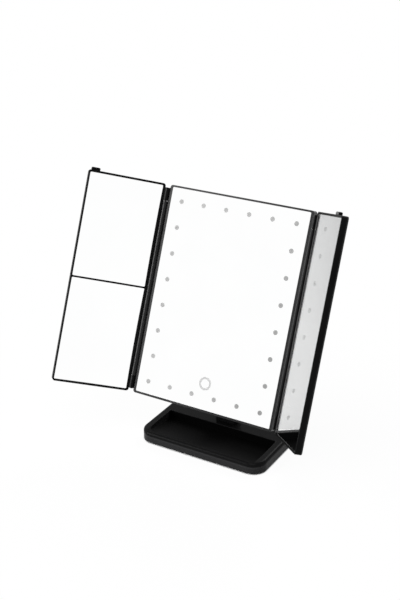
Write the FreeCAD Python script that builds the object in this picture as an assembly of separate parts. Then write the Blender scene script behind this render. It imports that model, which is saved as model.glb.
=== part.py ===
import FreeCAD, Part
import math
import os

V = FreeCAD.Vector

# Tri-fold lighted make-up mirror: a centre panel on a tilting neck, two wings and a tray base.
# Millimetres, +Z up, the viewer stands at -Y, and the origin is under the middle of the base.

# Panels
centre_width = 177.4
panel_height = 239.0
corner_radius = 3.0
edge_round = 0.4
wall = 1.2
lip_depth = 0.5
centre_top_bezel = 2.1
centre_side_bezel = 3.1
centre_chin_bezel = 2.6
wing_end_bezel = 2.4
wing_outer_bezel = 1.8
wing_hinge_bezel = 2.9
centre_frame_depth = 8.0
centre_cover = 2.0
wing_frame_depth = 5.6
wing_cover = 1.8
cover_edge_round = 0.9
seam_round = 0.3
window_radius = 1.2
closing_gap = 1.4

# Locating rim inside each back cover
rim_height = 1.2
rim_thickness = 1.3
rim_clearance = 0.2

# Mirrors and the foam tape behind them
glass_thickness = 2.0
glass_clearance = 0.2
dish_thickness = 3.2
upper_dish_radius = 1500.0
lower_dish_radius = 1100.0
divider_width = 2.0
divider_rib = 0.6
pad_thickness = 1.2
pad_width = 9.0
pad_end_margin = 34.0
wing_pad_inset = 24.0
centre_pad_inset = 42.0

# Wing hinges: a long barrel on the centre frame between two short knuckles on the wing
hinge_gap = 5.0
hinge_clearance = 0.3
axis_proud = 1.0
hinge_end = 4.0
knuckle_length = 15.0
knuckle_gap = 0.15
shield_thickness = 1.0
pin_radius = 1.0
pin_grip_clearance = 0.02
pin_run_clearance = 0.06
pin_grip = 12.0
pin_end_cap = 2.0

# Finger tabs on top of the wings
tab_length = 9.5
tab_height = 3.2
tab_setback = 2.0
tab_depth = 4.4
tab_round = 1.2
tab_cover_clearance = 0.2
left_tab_from_edge = 3.0
right_tab_from_edge = 20.5

# Rest pose
tilt = 22.5
left_wing_angle = 43.5
right_wing_angle = 51.0

# Lamp ring
led_columns = 6
led_rows = 8
led_side_inset = 17.4
led_end_inset = 16.6
led_size = 3.5
led_height = 1.2
led_gap = 0.2
board_thickness = 1.0
board_margin = 8.0
board_band = 13.0
board_post_radius = 2.5
touch_radius = 7.0
touch_thickness = 0.4

# Back cover screws and their bosses
boss_radius = 3.0
boss_inset = 2.8
screw_radius = 1.1
screw_clearance = 0.15
screw_head_radius = 2.2
screw_head_height = 1.2
screw_head_room = 2.4
cover_screw_length = 5.0

# Housing on the back of the centre panel
pod_width = 104.0
pod_bottom = 56.0
pod_top = 174.0
pod_height = 10.5
pod_wall = 1.8
pod_corner = 12.0
pod_edge_round = 4.0

# Battery bay with four AAA cells lying across
cell_radius = 5.25
cell_length = 44.5
cell_nub_length = 0.8
cell_nub_radius = 2.6
cell_count = 4
cell_pitch = 10.9
cell_clearance = 0.15
contact_reach = 4.2
contact_sheet = 0.4
contact_width = 6.0
bay_wall = 1.5
bay_bottom = 119.0
door_thickness = 1.6
door_overlap = 3.0
door_clearance = 0.25
door_corner = 3.0
door_grip_radius = 1.1
door_grip_count = 3
door_grip_length = 24.0
door_grip_pitch = 4.0

# Control board with its socket and switch
control_width = 84.0
control_height = 15.0
control_thickness = 1.2
control_edge_gap = 0.6
control_post = 5.0
control_post_radius = 2.2
control_post_inset = 4.4
usb_from_end = 15.0
usb_width = 7.5
usb_height = 2.9
usb_depth = 5.6
usb_sheet = 0.35
usb_round = 0.9
usb_tongue_width = 4.4
usb_tongue_height = 0.6
usb_opening_clearance = 0.35
usb_mouth_inset = 0.4
switch_from_end = 16.0
switch_length = 9.0
switch_width = 5.0
switch_travel = 3.0
slider_length = 3.6
slider_width = 2.4
slider_proud = 1.5
slider_clearance = 0.2
slider_seat = 2.0
slider_groove = 0.6

# Tilt joint
pivot_height = 88.0
pivot_depth = 29.0
lug_radius = 7.5
lug_width = 8.0
lug_foot = 24.0
lug_edge_round = 1.2
pivot_pin_radius = 2.5
pivot_grip_clearance = 0.02
pivot_run_clearance = 0.05
washer_thickness = 0.5
washer_gap = 0.05
washer_radius = 6.4
bolt_head_radius = 4.2
bolt_head_height = 2.0
bolt_head_round = 0.7
nut_radius = 4.4
nut_height = 3.0

# Neck, two halves clamped on the pivot pin
pivot_y = 16.5
pivot_z = 127.5
neck_foot_y = 21.0
neck_foot_width = 28.0
neck_foot_depth = 15.0
neck_top_width = 25.0
neck_top_depth = 14.0
neck_foot_round = 4.0
neck_top_round = 4.0
neck_shoulder = 14.0
neck_barrel_radius = 7.0
neck_socket_clearance = 0.3
neck_screw_places = (0.30, 0.72)
neck_screw_length = 9.0
foot_screw_length = 8.0
foot_screw_x = 7.5

# Base
base_width = 158.0
base_depth = 102.0
base_height = 14.0
base_corner = 17.0
base_top_round = 3.5
base_pad_thickness = 1.5
base_pad_margin = 8.0
base_plate = 1.5
base_wall = 2.4
base_plate_clearance = 0.2
tray_floor = 1.8
tray_side_rim = 9.0
tray_front_rim = 6.5
tray_ledge = 46.0
tray_front_corner = 10.0
tray_back_corner = 4.0
tray_low_line = 8.0
tray_front_lip = 2.2
tray_floor_round = 1.0
tray_edge_round = 1.0
ledge_top = 2.2
weight_thickness = 6.5
weight_clearance = 0.4
weight_neck_gap = 6.0
base_screw_length = 7.0
base_screw_inset = 12.5

# Worked out from the sizes above
tiny = 0.01
overshoot = 1.0
centre_depth = centre_frame_depth + centre_cover
hinge_x = centre_width / 2 + hinge_gap / 2
hinge_radius = hinge_gap / 2 - hinge_clearance
wing_width = hinge_x - hinge_gap / 2 - closing_gap / 2
wing_mid = hinge_gap / 2 + wing_width / 2
wing_view_width = wing_width - wing_hinge_bezel - wing_outer_bezel
wing_view_mid = wing_mid + (wing_hinge_bezel - wing_outer_bezel) / 2
glass_back = lip_depth + glass_thickness
view_width = centre_width - 2 * centre_side_bezel
view_height = panel_height - centre_top_bezel - centre_chin_bezel
led_pitch_x = (centre_width - 2 * led_side_inset) / (led_columns - 1)
led_pitch_z = (panel_height - 2 * led_end_inset) / (led_rows - 1)
led_front = glass_back + led_gap
board_front = led_front + led_height
board_back = board_front + board_thickness
pod_back = centre_depth + pod_height
pod_inside = pod_back - pod_wall
touch_z = led_end_inset + led_pitch_z / 2
usb_x = control_width / 2 - usb_from_end
switch_x = switch_from_end - control_width / 2
base_under = base_pad_thickness + base_plate
neck_length = math.hypot(pivot_y - neck_foot_y, pivot_z - base_under)
neck_lean = math.degrees(math.atan2(neck_foot_y - pivot_y, pivot_z - base_under))
barrel_half = neck_top_width / 2
lug_inner = barrel_half + washer_thickness + 2 * washer_gap
lug_outer = lug_inner + lug_width


def box(x0, x1, y0, y1, z0, z1):
    return Part.makeBox(x1 - x0, y1 - y0, z1 - z0, V(x0, y0, z0))


def rod(radius, start, end):
    along = end.sub(start)
    return Part.makeCylinder(radius, along.Length, start, along)


def fuse(shapes):
    result = shapes[0]
    for shape in shapes[1:]:
        result = result.fuse(shape)
    return result.removeSplitter()


def cut(shape, tools):
    for tool in tools:
        shape = shape.cut(tool)
    return shape


def edges_along(shape, axis):
    """Straight edges that run along one axis."""
    found = []
    for edge in shape.Edges:
        if not isinstance(edge.Curve, Part.Line):
            continue
        direction = edge.tangentAt(edge.FirstParameter)
        if abs(direction.dot(axis)) > 1 - 1e-6:
            found.append(edge)
    return found


def edges_in_plane(shape, axis, level):
    """Edges that lie whole in the plane square to an axis at a level."""
    found = []
    for edge in shape.Edges:
        span = [vertex.Point.dot(axis) for vertex in edge.Vertexes]
        span.append(edge.CenterOfMass.dot(axis))
        if all(abs(value - level) < 1e-4 for value in span):
            found.append(edge)
    return found


def plate(width, height, y0, y1, radius, x_mid=0.0, z0=0.0):
    """An upright plate with rounded corners, between two depths."""
    body = box(x_mid - width / 2, x_mid + width / 2, y0, y1, z0, z0 + height)
    return body.makeFillet(radius, edges_along(body, V(0, 1, 0)))


def slab(width, depth, z0, z1, radius, y_mid=0.0):
    """A lying plate with rounded corners, between two heights."""
    body = box(-width / 2, width / 2, y_mid - depth / 2, y_mid + depth / 2, z0, z1)
    return body.makeFillet(radius, edges_along(body, V(0, 0, 1)))


def screw(place, inward, length):
    """A pan head with its shank; place is the middle of the seat under the head."""
    head = rod(screw_head_radius, place, place.sub(V(inward).multiply(screw_head_height)))
    shank = rod(screw_radius, place, place.add(V(inward).multiply(length)))
    return fuse([head, shank])


def screw_hole(place, inward, length):
    """Room for one screw: the shank's hole and a counterbore for the head."""
    bore_end = place.add(V(inward).multiply(length + screw_clearance))
    bore = rod(screw_radius + screw_clearance, place.sub(V(inward).multiply(tiny)), bore_end)
    head_end = place.sub(V(inward).multiply(screw_head_room))
    counterbore = rod(screw_head_radius + screw_clearance, place, head_end)
    return bore.fuse(counterbore)


def on_head(shape):
    """From the upright panel's own frame to its tilted place on the pivot."""
    placed = shape.copy()
    placed.translate(V(0, -pivot_depth, -pivot_height))
    placed.rotate(V(0, 0, 0), V(1, 0, 0), -tilt)
    placed.translate(V(0, pivot_y, pivot_z))
    return placed


def on_wing(shape, side, angle):
    """From a wing's own frame, X outwards from its hinge axis, to its place on the head."""
    placed = shape.copy()
    if side < 0:
        placed = placed.mirror(V(0, 0, 0), V(1, 0, 0))
    placed.rotate(V(0, -axis_proud, 0), V(0, 0, 1), -side * angle)
    placed.translate(V(side * hinge_x, 0, 0))
    return on_head(placed)


def on_neck(shape):
    """From the neck's own frame, Z along it with the pivot at 0, to its leaning place."""
    placed = shape.copy()
    placed.rotate(V(0, 0, 0), V(1, 0, 0), neck_lean)
    placed.translate(V(0, pivot_y, pivot_z))
    return placed


def frame_ring(width, depth, x_mid, windows):
    """A panel's moulded edge: side walls with a lip over the glass, open at the back."""
    outer = plate(width, panel_height, 0, depth, corner_radius, x_mid)
    outer = outer.makeFillet(edge_round, edges_in_plane(outer, V(0, 1, 0), 0))
    pocket = plate(width - 2 * wall, panel_height - 2 * wall, lip_depth, depth + overshoot,
                   corner_radius - wall, x_mid, wall)
    return cut(outer, [pocket] + windows)


def window(width, height, x_mid, z0):
    return plate(width, height, -overshoot, lip_depth + overshoot, window_radius, x_mid, z0)


def cover_rim(width, seam, x_mid):
    """The rim on a back cover's inside that locates it in its frame; seam is the depth where they meet."""
    outer_inset = wall + rim_clearance
    inner_inset = outer_inset + rim_thickness
    outer = plate(width - 2 * outer_inset, panel_height - 2 * outer_inset, seam - rim_height, seam + tiny,
                  corner_radius - wall, x_mid, outer_inset)
    inner = plate(width - 2 * inner_inset, panel_height - 2 * inner_inset, seam - rim_height - overshoot,
                  seam + overshoot, window_radius, x_mid, inner_inset)
    return outer.cut(inner)


def hinge_web(x0, x1, z0, z1):
    return box(x0, x1, tiny, hinge_radius - axis_proud, z0, z1)


def hinge_shield(x0, x1, z0, z1):
    """A strip behind the hinge that keeps light out of the slit beside a barrel or a knuckle."""
    front = hinge_radius + hinge_clearance - axis_proud
    return box(x0, x1, front, front + shield_thickness, z0, z1)


def hinge_rod(radius, z0, z1, x=0.0):
    return rod(radius, V(x, -axis_proud, z0), V(x, -axis_proud, z1))


def barrel_ends():
    start = hinge_end + knuckle_length + knuckle_gap
    return start, panel_height - start


def knuckle_spans():
    """Bottom and top ends of the two knuckles of one hinge."""
    top = panel_height - hinge_end
    return ((hinge_end, hinge_end + knuckle_length), (top - knuckle_length, top))


def pin_spans():
    """Bottom and top ends of the two pins of one hinge."""
    low, high = barrel_ends()
    bottom = hinge_end + pin_end_cap
    return ((bottom, low + pin_grip), (high - pin_grip, panel_height - bottom))


def cover_screw_places():
    """Seats of the corner screws, in the panel's frame."""
    x = centre_width / 2 - wall - boss_inset
    z = wall + boss_inset
    seat = centre_depth - screw_head_height
    return [V(sx * x, seat, zz) for sx in (-1, 1) for zz in (z, panel_height - z)]


def centre_frame():
    ring = frame_ring(centre_width, centre_frame_depth, 0,
                      [window(view_width, view_height, 0, centre_chin_bezel)])
    low, high = barrel_ends()
    solids = [ring]
    for side in (-1, 1):
        edge = centre_width / 2 - wall / 2
        solids.append(hinge_rod(hinge_radius, low, high, side * hinge_x))
        x0, x1 = sorted((side * edge, side * hinge_x))
        solids.append(hinge_web(x0, x1, low, high))
        for z0, z1 in knuckle_spans():
            solids.append(hinge_shield(x0, x1, z0, z1))
    for place in cover_screw_places():
        front = glass_back + led_gap
        solids.append(rod(boss_radius, V(place.x, front, place.z), V(place.x, centre_frame_depth, place.z)))
    frame = fuse(solids)
    holes = []
    for side in (-1, 1):
        for z0, z1 in pin_spans():
            bore_radius = pin_radius + pin_grip_clearance
            holes.append(hinge_rod(bore_radius, z0 - tiny, z1 + tiny, side * hinge_x))
    for place in cover_screw_places():
        holes.append(screw_hole(place, V(0, -1, 0), cover_screw_length))
    return cut(frame, holes)


def glass(width, x_mid):
    """A flat mirror that fills the pocket of a panel."""
    inset = wall + glass_clearance
    return plate(width - 2 * inset, panel_height - 2 * inset, lip_depth, glass_back,
                 corner_radius - wall, x_mid, inset)


def dished_glass(width, height, x_mid, z0, radius):
    """A magnifying mirror: flat back, front hollowed to part of a sphere through its corners."""
    body = plate(width, height, lip_depth, lip_depth + dish_thickness, corner_radius - wall, x_mid, z0)
    half_diagonal = math.hypot(width, height) / 2
    stand_off = math.sqrt(radius ** 2 - half_diagonal ** 2)
    ball = Part.makeSphere(radius, V(x_mid, lip_depth - stand_off, z0 + height / 2))
    return body.cut(ball)


def pad_strips(width, height, x_mid, z0, front, inset):
    """Two upright strips of foam tape behind one mirror."""
    strips = []
    for side in (-1, 1):
        x = x_mid + side * (width / 2 - inset)
        strips.append(box(x - pad_width / 2, x + pad_width / 2, front, front + pad_thickness,
                          z0 + pad_end_margin, z0 + height - pad_end_margin))
    return strips


def pad_rib(strip, seam):
    """The rib on a back cover that one strip of foam tape leans on."""
    span = strip.BoundBox
    return box(span.XMin, span.XMax, span.YMax, seam + tiny, span.ZMin, span.ZMax)


def centre_pads():
    return pad_strips(view_width, view_height, 0, centre_chin_bezel, glass_back, centre_pad_inset)


def led_places():
    """Middles of the lamps: the outer ring of an even grid over the mirror."""
    places = []
    for column in range(led_columns):
        for row in range(led_rows):
            if column in (0, led_columns - 1) or row in (0, led_rows - 1):
                x = (column - (led_columns - 1) / 2) * led_pitch_x
                z = led_end_inset + row * led_pitch_z
                places.append((x, z))
    return places


def led_board():
    outer_width = view_width - 2 * board_margin
    outer_height = view_height - 2 * board_margin
    low = centre_chin_bezel + board_margin
    outer = plate(outer_width, outer_height, board_front, board_back, corner_radius, 0, low)
    hole = plate(outer_width - 2 * board_band, outer_height - 2 * board_band, board_front - overshoot,
                 board_back + overshoot, corner_radius, 0, low + board_band)
    return outer.cut(hole)


def leds():
    half = led_size / 2
    return [box(x - half, x + half, led_front, board_front, z - half, z + half) for x, z in led_places()]


def touch_sensor():
    return rod(touch_radius, V(0, glass_back, touch_z), V(0, glass_back + touch_thickness, touch_z))


def bay_box():
    """Inside of the battery bay: lowest and highest x, y and z."""
    half = cell_length / 2 + contact_reach + contact_sheet
    front = pod_back - door_thickness - 2 * cell_radius - 2 * cell_clearance
    height = cell_count * cell_pitch + 2 * cell_clearance
    return -half, half, front, pod_back, bay_bottom, bay_bottom + height


def door_plate(clearance):
    """The battery door's outline, lying in its rebate in the housing's back."""
    x0, x1, y0, y1, z0, z1 = bay_box()
    grow = door_overlap - clearance
    return plate(x1 - x0 + 2 * grow, z1 - z0 + 2 * grow, pod_back - door_thickness, pod_back,
                 door_corner, 0, z0 - grow)


def lug(side):
    """A round eye for the tilt bolt, on a foot that widens to the housing."""
    x0, x1 = sorted((side * lug_inner, side * lug_outer))
    foot = lug_foot / 2
    points = [V(x0, pod_inside, pivot_height - foot), V(x0, pivot_depth, pivot_height - lug_radius),
              V(x0, pivot_depth, pivot_height + lug_radius), V(x0, pod_inside, pivot_height + foot)]
    side_view = Part.Face(Part.makePolygon(points + points[:1]))
    eye = rod(lug_radius, V(x0, pivot_depth, pivot_height), V(x1, pivot_depth, pivot_height))
    body = fuse([side_view.extrude(V(x1 - x0, 0, 0)), eye])
    outside = edges_in_plane(body, V(1, 0, 0), side * lug_outer)
    outside = [edge for edge in outside if edge.BoundBox.YMax > pod_inside + tiny]
    return body.makeFillet(lug_edge_round, outside)


def usb_outline(clearance):
    """Outside of the socket's shell, its mouth just inside the housing's lower wall."""
    mouth = pod_bottom + usb_mouth_inset
    front = control_back()
    shell = box(usb_x - usb_width / 2 - clearance, usb_x + usb_width / 2 + clearance,
                front - clearance, front + usb_height + clearance, mouth, mouth + usb_depth)
    return shell.makeFillet(usb_round, edges_along(shell, V(0, 0, 1)))


def control_back():
    return pod_inside - control_post


def control_bottom():
    return pod_bottom + pod_wall + control_edge_gap


def control_posts():
    """Middles of the posts that carry the control board."""
    x = control_width / 2 - control_post_inset
    return [(-x, control_bottom() + control_height / 2), (x, control_bottom() + control_height / 2)]


def switch_z():
    return control_bottom() + control_height / 2


def centre_back_cover():
    back = plate(centre_width, panel_height, centre_frame_depth, centre_depth, corner_radius)
    back = back.makeFillet(cover_edge_round, edges_in_plane(back, V(0, 1, 0), centre_depth))
    back = back.makeFillet(seam_round, edges_in_plane(back, V(0, 1, 0), centre_frame_depth))
    pod = plate(pod_width, pod_top - pod_bottom, centre_frame_depth, pod_back, pod_corner, 0, pod_bottom)
    pod = pod.makeFillet(pod_edge_round, edges_in_plane(pod, V(0, 1, 0), pod_back))
    x0, x1, y0, y1, z0, z1 = bay_box()
    bay_shell = box(x0 - bay_wall, x1 + bay_wall, y0 - bay_wall, pod_inside + tiny,
                    z0 - bay_wall, z1 + bay_wall)
    inside = plate(pod_width - 2 * pod_wall, pod_top - pod_bottom - 2 * pod_wall,
                   centre_frame_depth - overshoot, pod_inside, pod_corner - pod_wall, 0,
                   pod_bottom + pod_wall)
    hollow = inside.cut(bay_shell)
    rim = cover_rim(centre_width, centre_frame_depth, 0)
    for place in cover_screw_places():
        clear = boss_radius + rim_clearance
        rim = rim.cut(rod(clear, V(place.x, 0, place.z), V(place.x, centre_frame_depth, place.z)))
    shell = cut(fuse([back, pod]), [hollow])
    solids = [shell, rim, lug(-1), lug(1)]
    bay = box(x0, x1, y0, y1 + overshoot, z0, z1)
    solids.append(bay_shell.cut(bay))
    solids += [pad_rib(strip, centre_frame_depth) for strip in centre_pads()]
    for x, z in board_posts():
        solids.append(rod(board_post_radius, V(x, board_back, z), V(x, centre_frame_depth + tiny, z)))
    for x, z in control_posts():
        solids.append(rod(control_post_radius, V(x, control_back(), z), V(x, pod_inside + tiny, z)))
    cover = fuse(solids)
    pin = pivot_pin_radius + pivot_grip_clearance
    half_slot = (slider_length + switch_travel) / 2 + slider_clearance
    slot = slider_width / 2 + slider_clearance
    tools = [
        bay,
        door_plate(0),
        rod(pin, V(-2 * lug_outer, pivot_depth, pivot_height), V(2 * lug_outer, pivot_depth, pivot_height)),
        box(switch_x - half_slot, switch_x + half_slot, pod_inside - overshoot, pod_back + overshoot,
            switch_z() - slot, switch_z() + slot),
    ]
    mouth = usb_outline(usb_opening_clearance)
    mouth.translate(V(0, 0, -pod_wall))
    tools.append(mouth)
    for place in cover_screw_places():
        tools.append(screw_hole(place, V(0, -1, 0), cover_screw_length))
    return cut(cover, tools)


def board_posts():
    """Middles of the posts under the lamp board, halfway between lamps on its four sides."""
    x = centre_width / 2 - led_side_inset
    z = panel_height / 2
    rows = led_pitch_z * (led_rows / 2 - 2)
    places = [(side * x, z + step * rows) for side in (-1, 1) for step in (-1, 1)]
    top = panel_height / 2 - led_end_inset
    return places + [(0, z + step * top) for step in (-1, 1)]


def control_board():
    back = control_back()
    return box(-control_width / 2, control_width / 2, back - control_thickness, back,
               control_bottom(), control_bottom() + control_height)


def usb_socket():
    shell = usb_outline(0)
    span = shell.BoundBox
    inside = box(span.XMin + usb_sheet, span.XMax - usb_sheet, span.YMin + usb_sheet, span.YMax - usb_sheet,
                 span.ZMin - overshoot, span.ZMax - usb_sheet)
    inside = inside.makeFillet(usb_round - usb_sheet, edges_along(inside, V(0, 0, 1)))
    middle = (span.YMin + span.YMax) / 2
    tongue = box(usb_x - usb_tongue_width / 2, usb_x + usb_tongue_width / 2, middle - usb_tongue_height / 2,
                 middle + usb_tongue_height / 2, span.ZMin + 2 * usb_sheet, span.ZMax)
    return fuse([shell.cut(inside), tongue])


def switch_body():
    """The switch's case on the housing's inside, with a channel for the slider's foot."""
    z = switch_z()
    front = control_back()
    body = box(switch_x - switch_length / 2, switch_x + switch_length / 2, front, pod_inside,
               z - switch_width / 2, z + switch_width / 2)
    half = (slider_length + switch_travel) / 2 + slider_clearance
    channel = box(switch_x - half, switch_x + half, pod_inside - slider_seat, pod_inside + overshoot,
                  z - slider_width / 2 - slider_clearance, z + slider_width / 2 + slider_clearance)
    return body.cut(channel)


def switch_slider():
    """The slider at one end of its slot, with two grip grooves across its top."""
    z = switch_z()
    start = switch_x - (slider_length + switch_travel) / 2
    top = pod_back + slider_proud
    body = box(start, start + slider_length, pod_inside - slider_seat + slider_clearance, top,
               z - slider_width / 2, z + slider_width / 2)
    y = top + slider_groove / 2
    grooves = []
    for share in (1 / 3, 2 / 3):
        x = start + slider_length * share
        grooves.append(rod(slider_groove, V(x, y, z - slider_width), V(x, y, z + slider_width)))
    return cut(body, grooves)


def battery_cells():
    """Four cells, each with its raised positive end, turned about one after another."""
    x0, x1, y0, y1, z0, z1 = bay_box()
    y = y0 + cell_clearance + cell_radius
    cells = []
    for index in range(cell_count):
        z = z0 + cell_clearance + (index + 0.5) * cell_pitch
        turn = 1 if index % 2 == 0 else -1
        flat_end = V(-turn * cell_length / 2, y, z)
        shoulder = V(turn * (cell_length / 2 - cell_nub_length), y, z)
        tip = V(turn * cell_length / 2, y, z)
        cells.append(fuse([rod(cell_radius, flat_end, shoulder), rod(cell_nub_radius, shoulder, tip)]))
    return cells


def battery_contacts():
    """A sprung leaf at each end of each cell: a flat on the bay's wall and a half-round bow."""
    x0, x1, y0, y1, z0, z1 = bay_box()
    y = y0 + cell_clearance + cell_radius
    leaves = []
    for index in range(cell_count):
        z = z0 + cell_clearance + (index + 0.5) * cell_pitch
        for side, wall_x in ((1, x0), (-1, x1)):
            base_x = wall_x + side * contact_sheet
            sheet_x = sorted((wall_x, base_x))
            half = contact_reach + contact_sheet / 2
            low_y = y - contact_width / 2
            high_y = y + contact_width / 2
            flat = box(sheet_x[0], sheet_x[1], low_y, high_y, z - half, z + half)
            bow = rod(contact_reach, V(base_x, low_y, z), V(base_x, high_y, z))
            bow = bow.cut(rod(contact_reach - contact_sheet, V(base_x, y - contact_width, z),
                              V(base_x, y + contact_width, z)))
            keep_x = sorted((base_x - side * tiny, base_x + side * (contact_reach - tiny)))
            bow = bow.common(box(keep_x[0], keep_x[1], y - contact_width, y + contact_width,
                                 z - 2 * contact_reach, z + 2 * contact_reach))
            leaves.append(fuse([flat, bow]))
    return leaves


def battery_cover():
    """The door, flush with the housing, with finger grooves near its lower edge."""
    door = door_plate(door_clearance)
    span = door.BoundBox
    grooves = []
    for step in range(door_grip_count):
        z = span.ZMin + door_overlap + door_grip_pitch * (step + 1)
        half = door_grip_length / 2
        grooves.append(rod(door_grip_radius, V(-half, pod_back + door_grip_radius / 2, z),
                           V(half, pod_back + door_grip_radius / 2, z)))
    return cut(door, grooves)


def tilt_bolt():
    start = V(-lug_outer, pivot_depth, pivot_height)
    end = V(lug_outer + nut_height, pivot_depth, pivot_height)
    head = rod(bolt_head_radius, start, start.sub(V(bolt_head_height, 0, 0)))
    rim = edges_in_plane(head, V(1, 0, 0), -lug_outer - bolt_head_height)
    head = head.makeFillet(bolt_head_round, rim)
    return fuse([rod(pivot_pin_radius, start, end), head])


def tilt_nut():
    points = []
    for corner in range(7):
        angle = math.radians(60 * corner)
        points.append(V(lug_outer, pivot_depth + nut_radius * math.cos(angle),
                        pivot_height + nut_radius * math.sin(angle)))
    body = Part.Face(Part.makePolygon(points)).extrude(V(nut_height, 0, 0))
    bore = pivot_pin_radius + pivot_grip_clearance
    return body.cut(rod(bore, V(0, pivot_depth, pivot_height), V(2 * lug_outer, pivot_depth, pivot_height)))


def tilt_washers():
    washers = []
    for side in (-1, 1):
        x0 = side * (barrel_half + washer_gap)
        x1 = side * (barrel_half + washer_gap + washer_thickness)
        ring = rod(washer_radius, V(x0, pivot_depth, pivot_height), V(x1, pivot_depth, pivot_height))
        hole = rod(pivot_pin_radius + pivot_run_clearance, V(0, pivot_depth, pivot_height),
                   V(2 * x1, pivot_depth, pivot_height))
        washers.append(ring.cut(hole))
    return washers


def wing_windows(left):
    """Heights and lower ends of the openings in a wing's lip, one or two."""
    height = panel_height - 2 * wing_end_bezel
    if not left:
        return [(height, wing_end_bezel)]
    half = (height - divider_width) / 2
    return [(half, wing_end_bezel), (half, wing_end_bezel + half + divider_width)]


def finger_tab(from_edge):
    """A finger tab on top of a wing, moulded on the frame and reaching back over the cover."""
    outer = hinge_gap / 2 + wing_width - from_edge
    inner = outer - tab_length
    top = panel_height + tab_height
    root = box(inner, outer, tab_setback, wing_frame_depth, panel_height - wall, top)
    reach = box(inner, outer, tab_setback, tab_setback + tab_depth, panel_height + tab_cover_clearance, top)
    tab = fuse([root, reach])
    return tab.makeFillet(tab_round, edges_in_plane(tab, V(0, 0, 1), top))


def wing_frame(left):
    openings = [window(wing_view_width, height, wing_view_mid, z0) for height, z0 in wing_windows(left)]
    ring = frame_ring(wing_width, wing_frame_depth, wing_mid, openings)
    solids = [ring]
    edge = hinge_gap / 2 + wall / 2
    for z0, z1 in knuckle_spans():
        solids.append(hinge_rod(hinge_radius, z0, z1))
        solids.append(hinge_web(0, edge, z0, z1))
    solids.append(hinge_shield(0, edge, *barrel_ends()))
    solids.append(finger_tab(left_tab_from_edge if left else right_tab_from_edge))
    if left:
        rib_back = lip_depth + dish_thickness
        solids.append(box(edge, hinge_gap / 2 + wing_width - wall / 2, lip_depth - tiny,
                          rib_back, (panel_height - divider_rib) / 2, (panel_height + divider_rib) / 2))
    frame = fuse(solids)
    bore = pin_radius + pin_run_clearance
    return cut(frame, [hinge_rod(bore, z0 - tiny, z1 + tiny) for z0, z1 in pin_spans()])


def wing_back(left):
    depth = wing_frame_depth + wing_cover
    back = plate(wing_width, panel_height, wing_frame_depth, depth, corner_radius, wing_mid)
    back = back.makeFillet(cover_edge_round, edges_in_plane(back, V(0, 1, 0), depth))
    back = back.makeFillet(seam_round, edges_in_plane(back, V(0, 1, 0), wing_frame_depth))
    solids = [back, cover_rim(wing_width, wing_frame_depth, wing_mid)]
    for strip in wing_pads(left):
        if strip.BoundBox.YMax < wing_frame_depth - tiny:
            solids.append(pad_rib(strip, wing_frame_depth))
    return fuse(solids)


def left_mirror(upper):
    height, z0 = wing_windows(True)[1 if upper else 0]
    inset = wing_end_bezel - wall - glass_clearance
    under_divider = (divider_width - divider_rib) / 2 - glass_clearance
    low = z0 - (under_divider if upper else inset)
    high = z0 + height + (inset if upper else under_divider)
    radius = upper_dish_radius if upper else lower_dish_radius
    return dished_glass(wing_width - 2 * (wall + glass_clearance), high - low, wing_mid, low, radius)


def wing_pads(left):
    front = lip_depth + dish_thickness if left else glass_back
    strips = []
    for height, z0 in wing_windows(left):
        strips += pad_strips(wing_view_width, height, wing_view_mid, z0, front, wing_pad_inset)
    return strips


def hinge_pins(side):
    return [hinge_rod(pin_radius, z0, z1, side * hinge_x) for z0, z1 in pin_spans()]


def neck_section(width, depth, radius, height):
    """Outline of the neck across it, at a height in the neck's own frame."""
    x = width / 2
    y = depth / 2
    slant = radius * (1 - math.sqrt(0.5))
    edges = []
    corners = ((1, 1), (-1, 1), (-1, -1), (1, -1))
    for index, (sx, sy) in enumerate(corners):
        start = V(sx * x, sy * (y - radius), height)
        middle = V(sx * (x - slant), sy * (y - slant), height)
        end = V(sx * (x - radius), sy * y, height)
        if sx * sy < 0:
            start, end = end, start
        if edges:
            edges.append(Part.makeLine(edges[-1].Vertexes[-1].Point, start))
        edges.append(Part.Arc(start, middle, end).toShape())
    edges.append(Part.makeLine(edges[-1].Vertexes[-1].Point, edges[0].Vertexes[0].Point))
    return Part.Wire(edges)


def neck_body():
    foot = -neck_length - neck_foot_depth
    sections = [
        neck_section(neck_foot_width, neck_foot_depth, neck_foot_round, foot),
        neck_section(neck_foot_width, neck_foot_depth, neck_foot_round, -neck_length + base_height),
        neck_section(neck_top_width, neck_top_depth, neck_top_round, -neck_shoulder),
        neck_section(neck_top_width, neck_top_depth, neck_top_round, 0),
    ]
    column = Part.makeLoft(sections, True, True)
    barrel = rod(neck_barrel_radius, V(-barrel_half, 0, 0), V(barrel_half, 0, 0))
    body = fuse([column, barrel])
    bore = pivot_pin_radius + pivot_run_clearance
    return body.cut(rod(bore, V(-neck_top_width, 0, 0), V(neck_top_width, 0, 0)))


def neck_screw_seats():
    """Where the clamp screws' heads sit, in the neck's own frame."""
    seat = neck_top_depth / 2 - screw_head_height - screw_clearance
    return [V(0, seat, -neck_length * place) for place in neck_screw_places]


def foot_screw_seats():
    """Where the screws into the neck's foot start, under the base plate."""
    y = neck_foot_depth / 4
    return [V(side * foot_screw_x, neck_foot_y + side * y, base_pad_thickness) for side in (-1, 1)]


def neck_half(front):
    reach = neck_length * 2
    y0, y1 = (-reach, 0) if front else (0, reach)
    half = neck_body().common(box(-reach, reach, y0, y1, -reach, reach))
    for place in neck_screw_seats():
        half = half.cut(screw_hole(place, V(0, -1, 0), neck_screw_length))
    placed = on_neck(half)
    placed = placed.cut(box(-reach, reach, -reach, reach, -reach, base_under))
    for place in foot_screw_seats():
        placed = placed.cut(screw_hole(place, V(0, 0, 1), foot_screw_length))
    return placed


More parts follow.
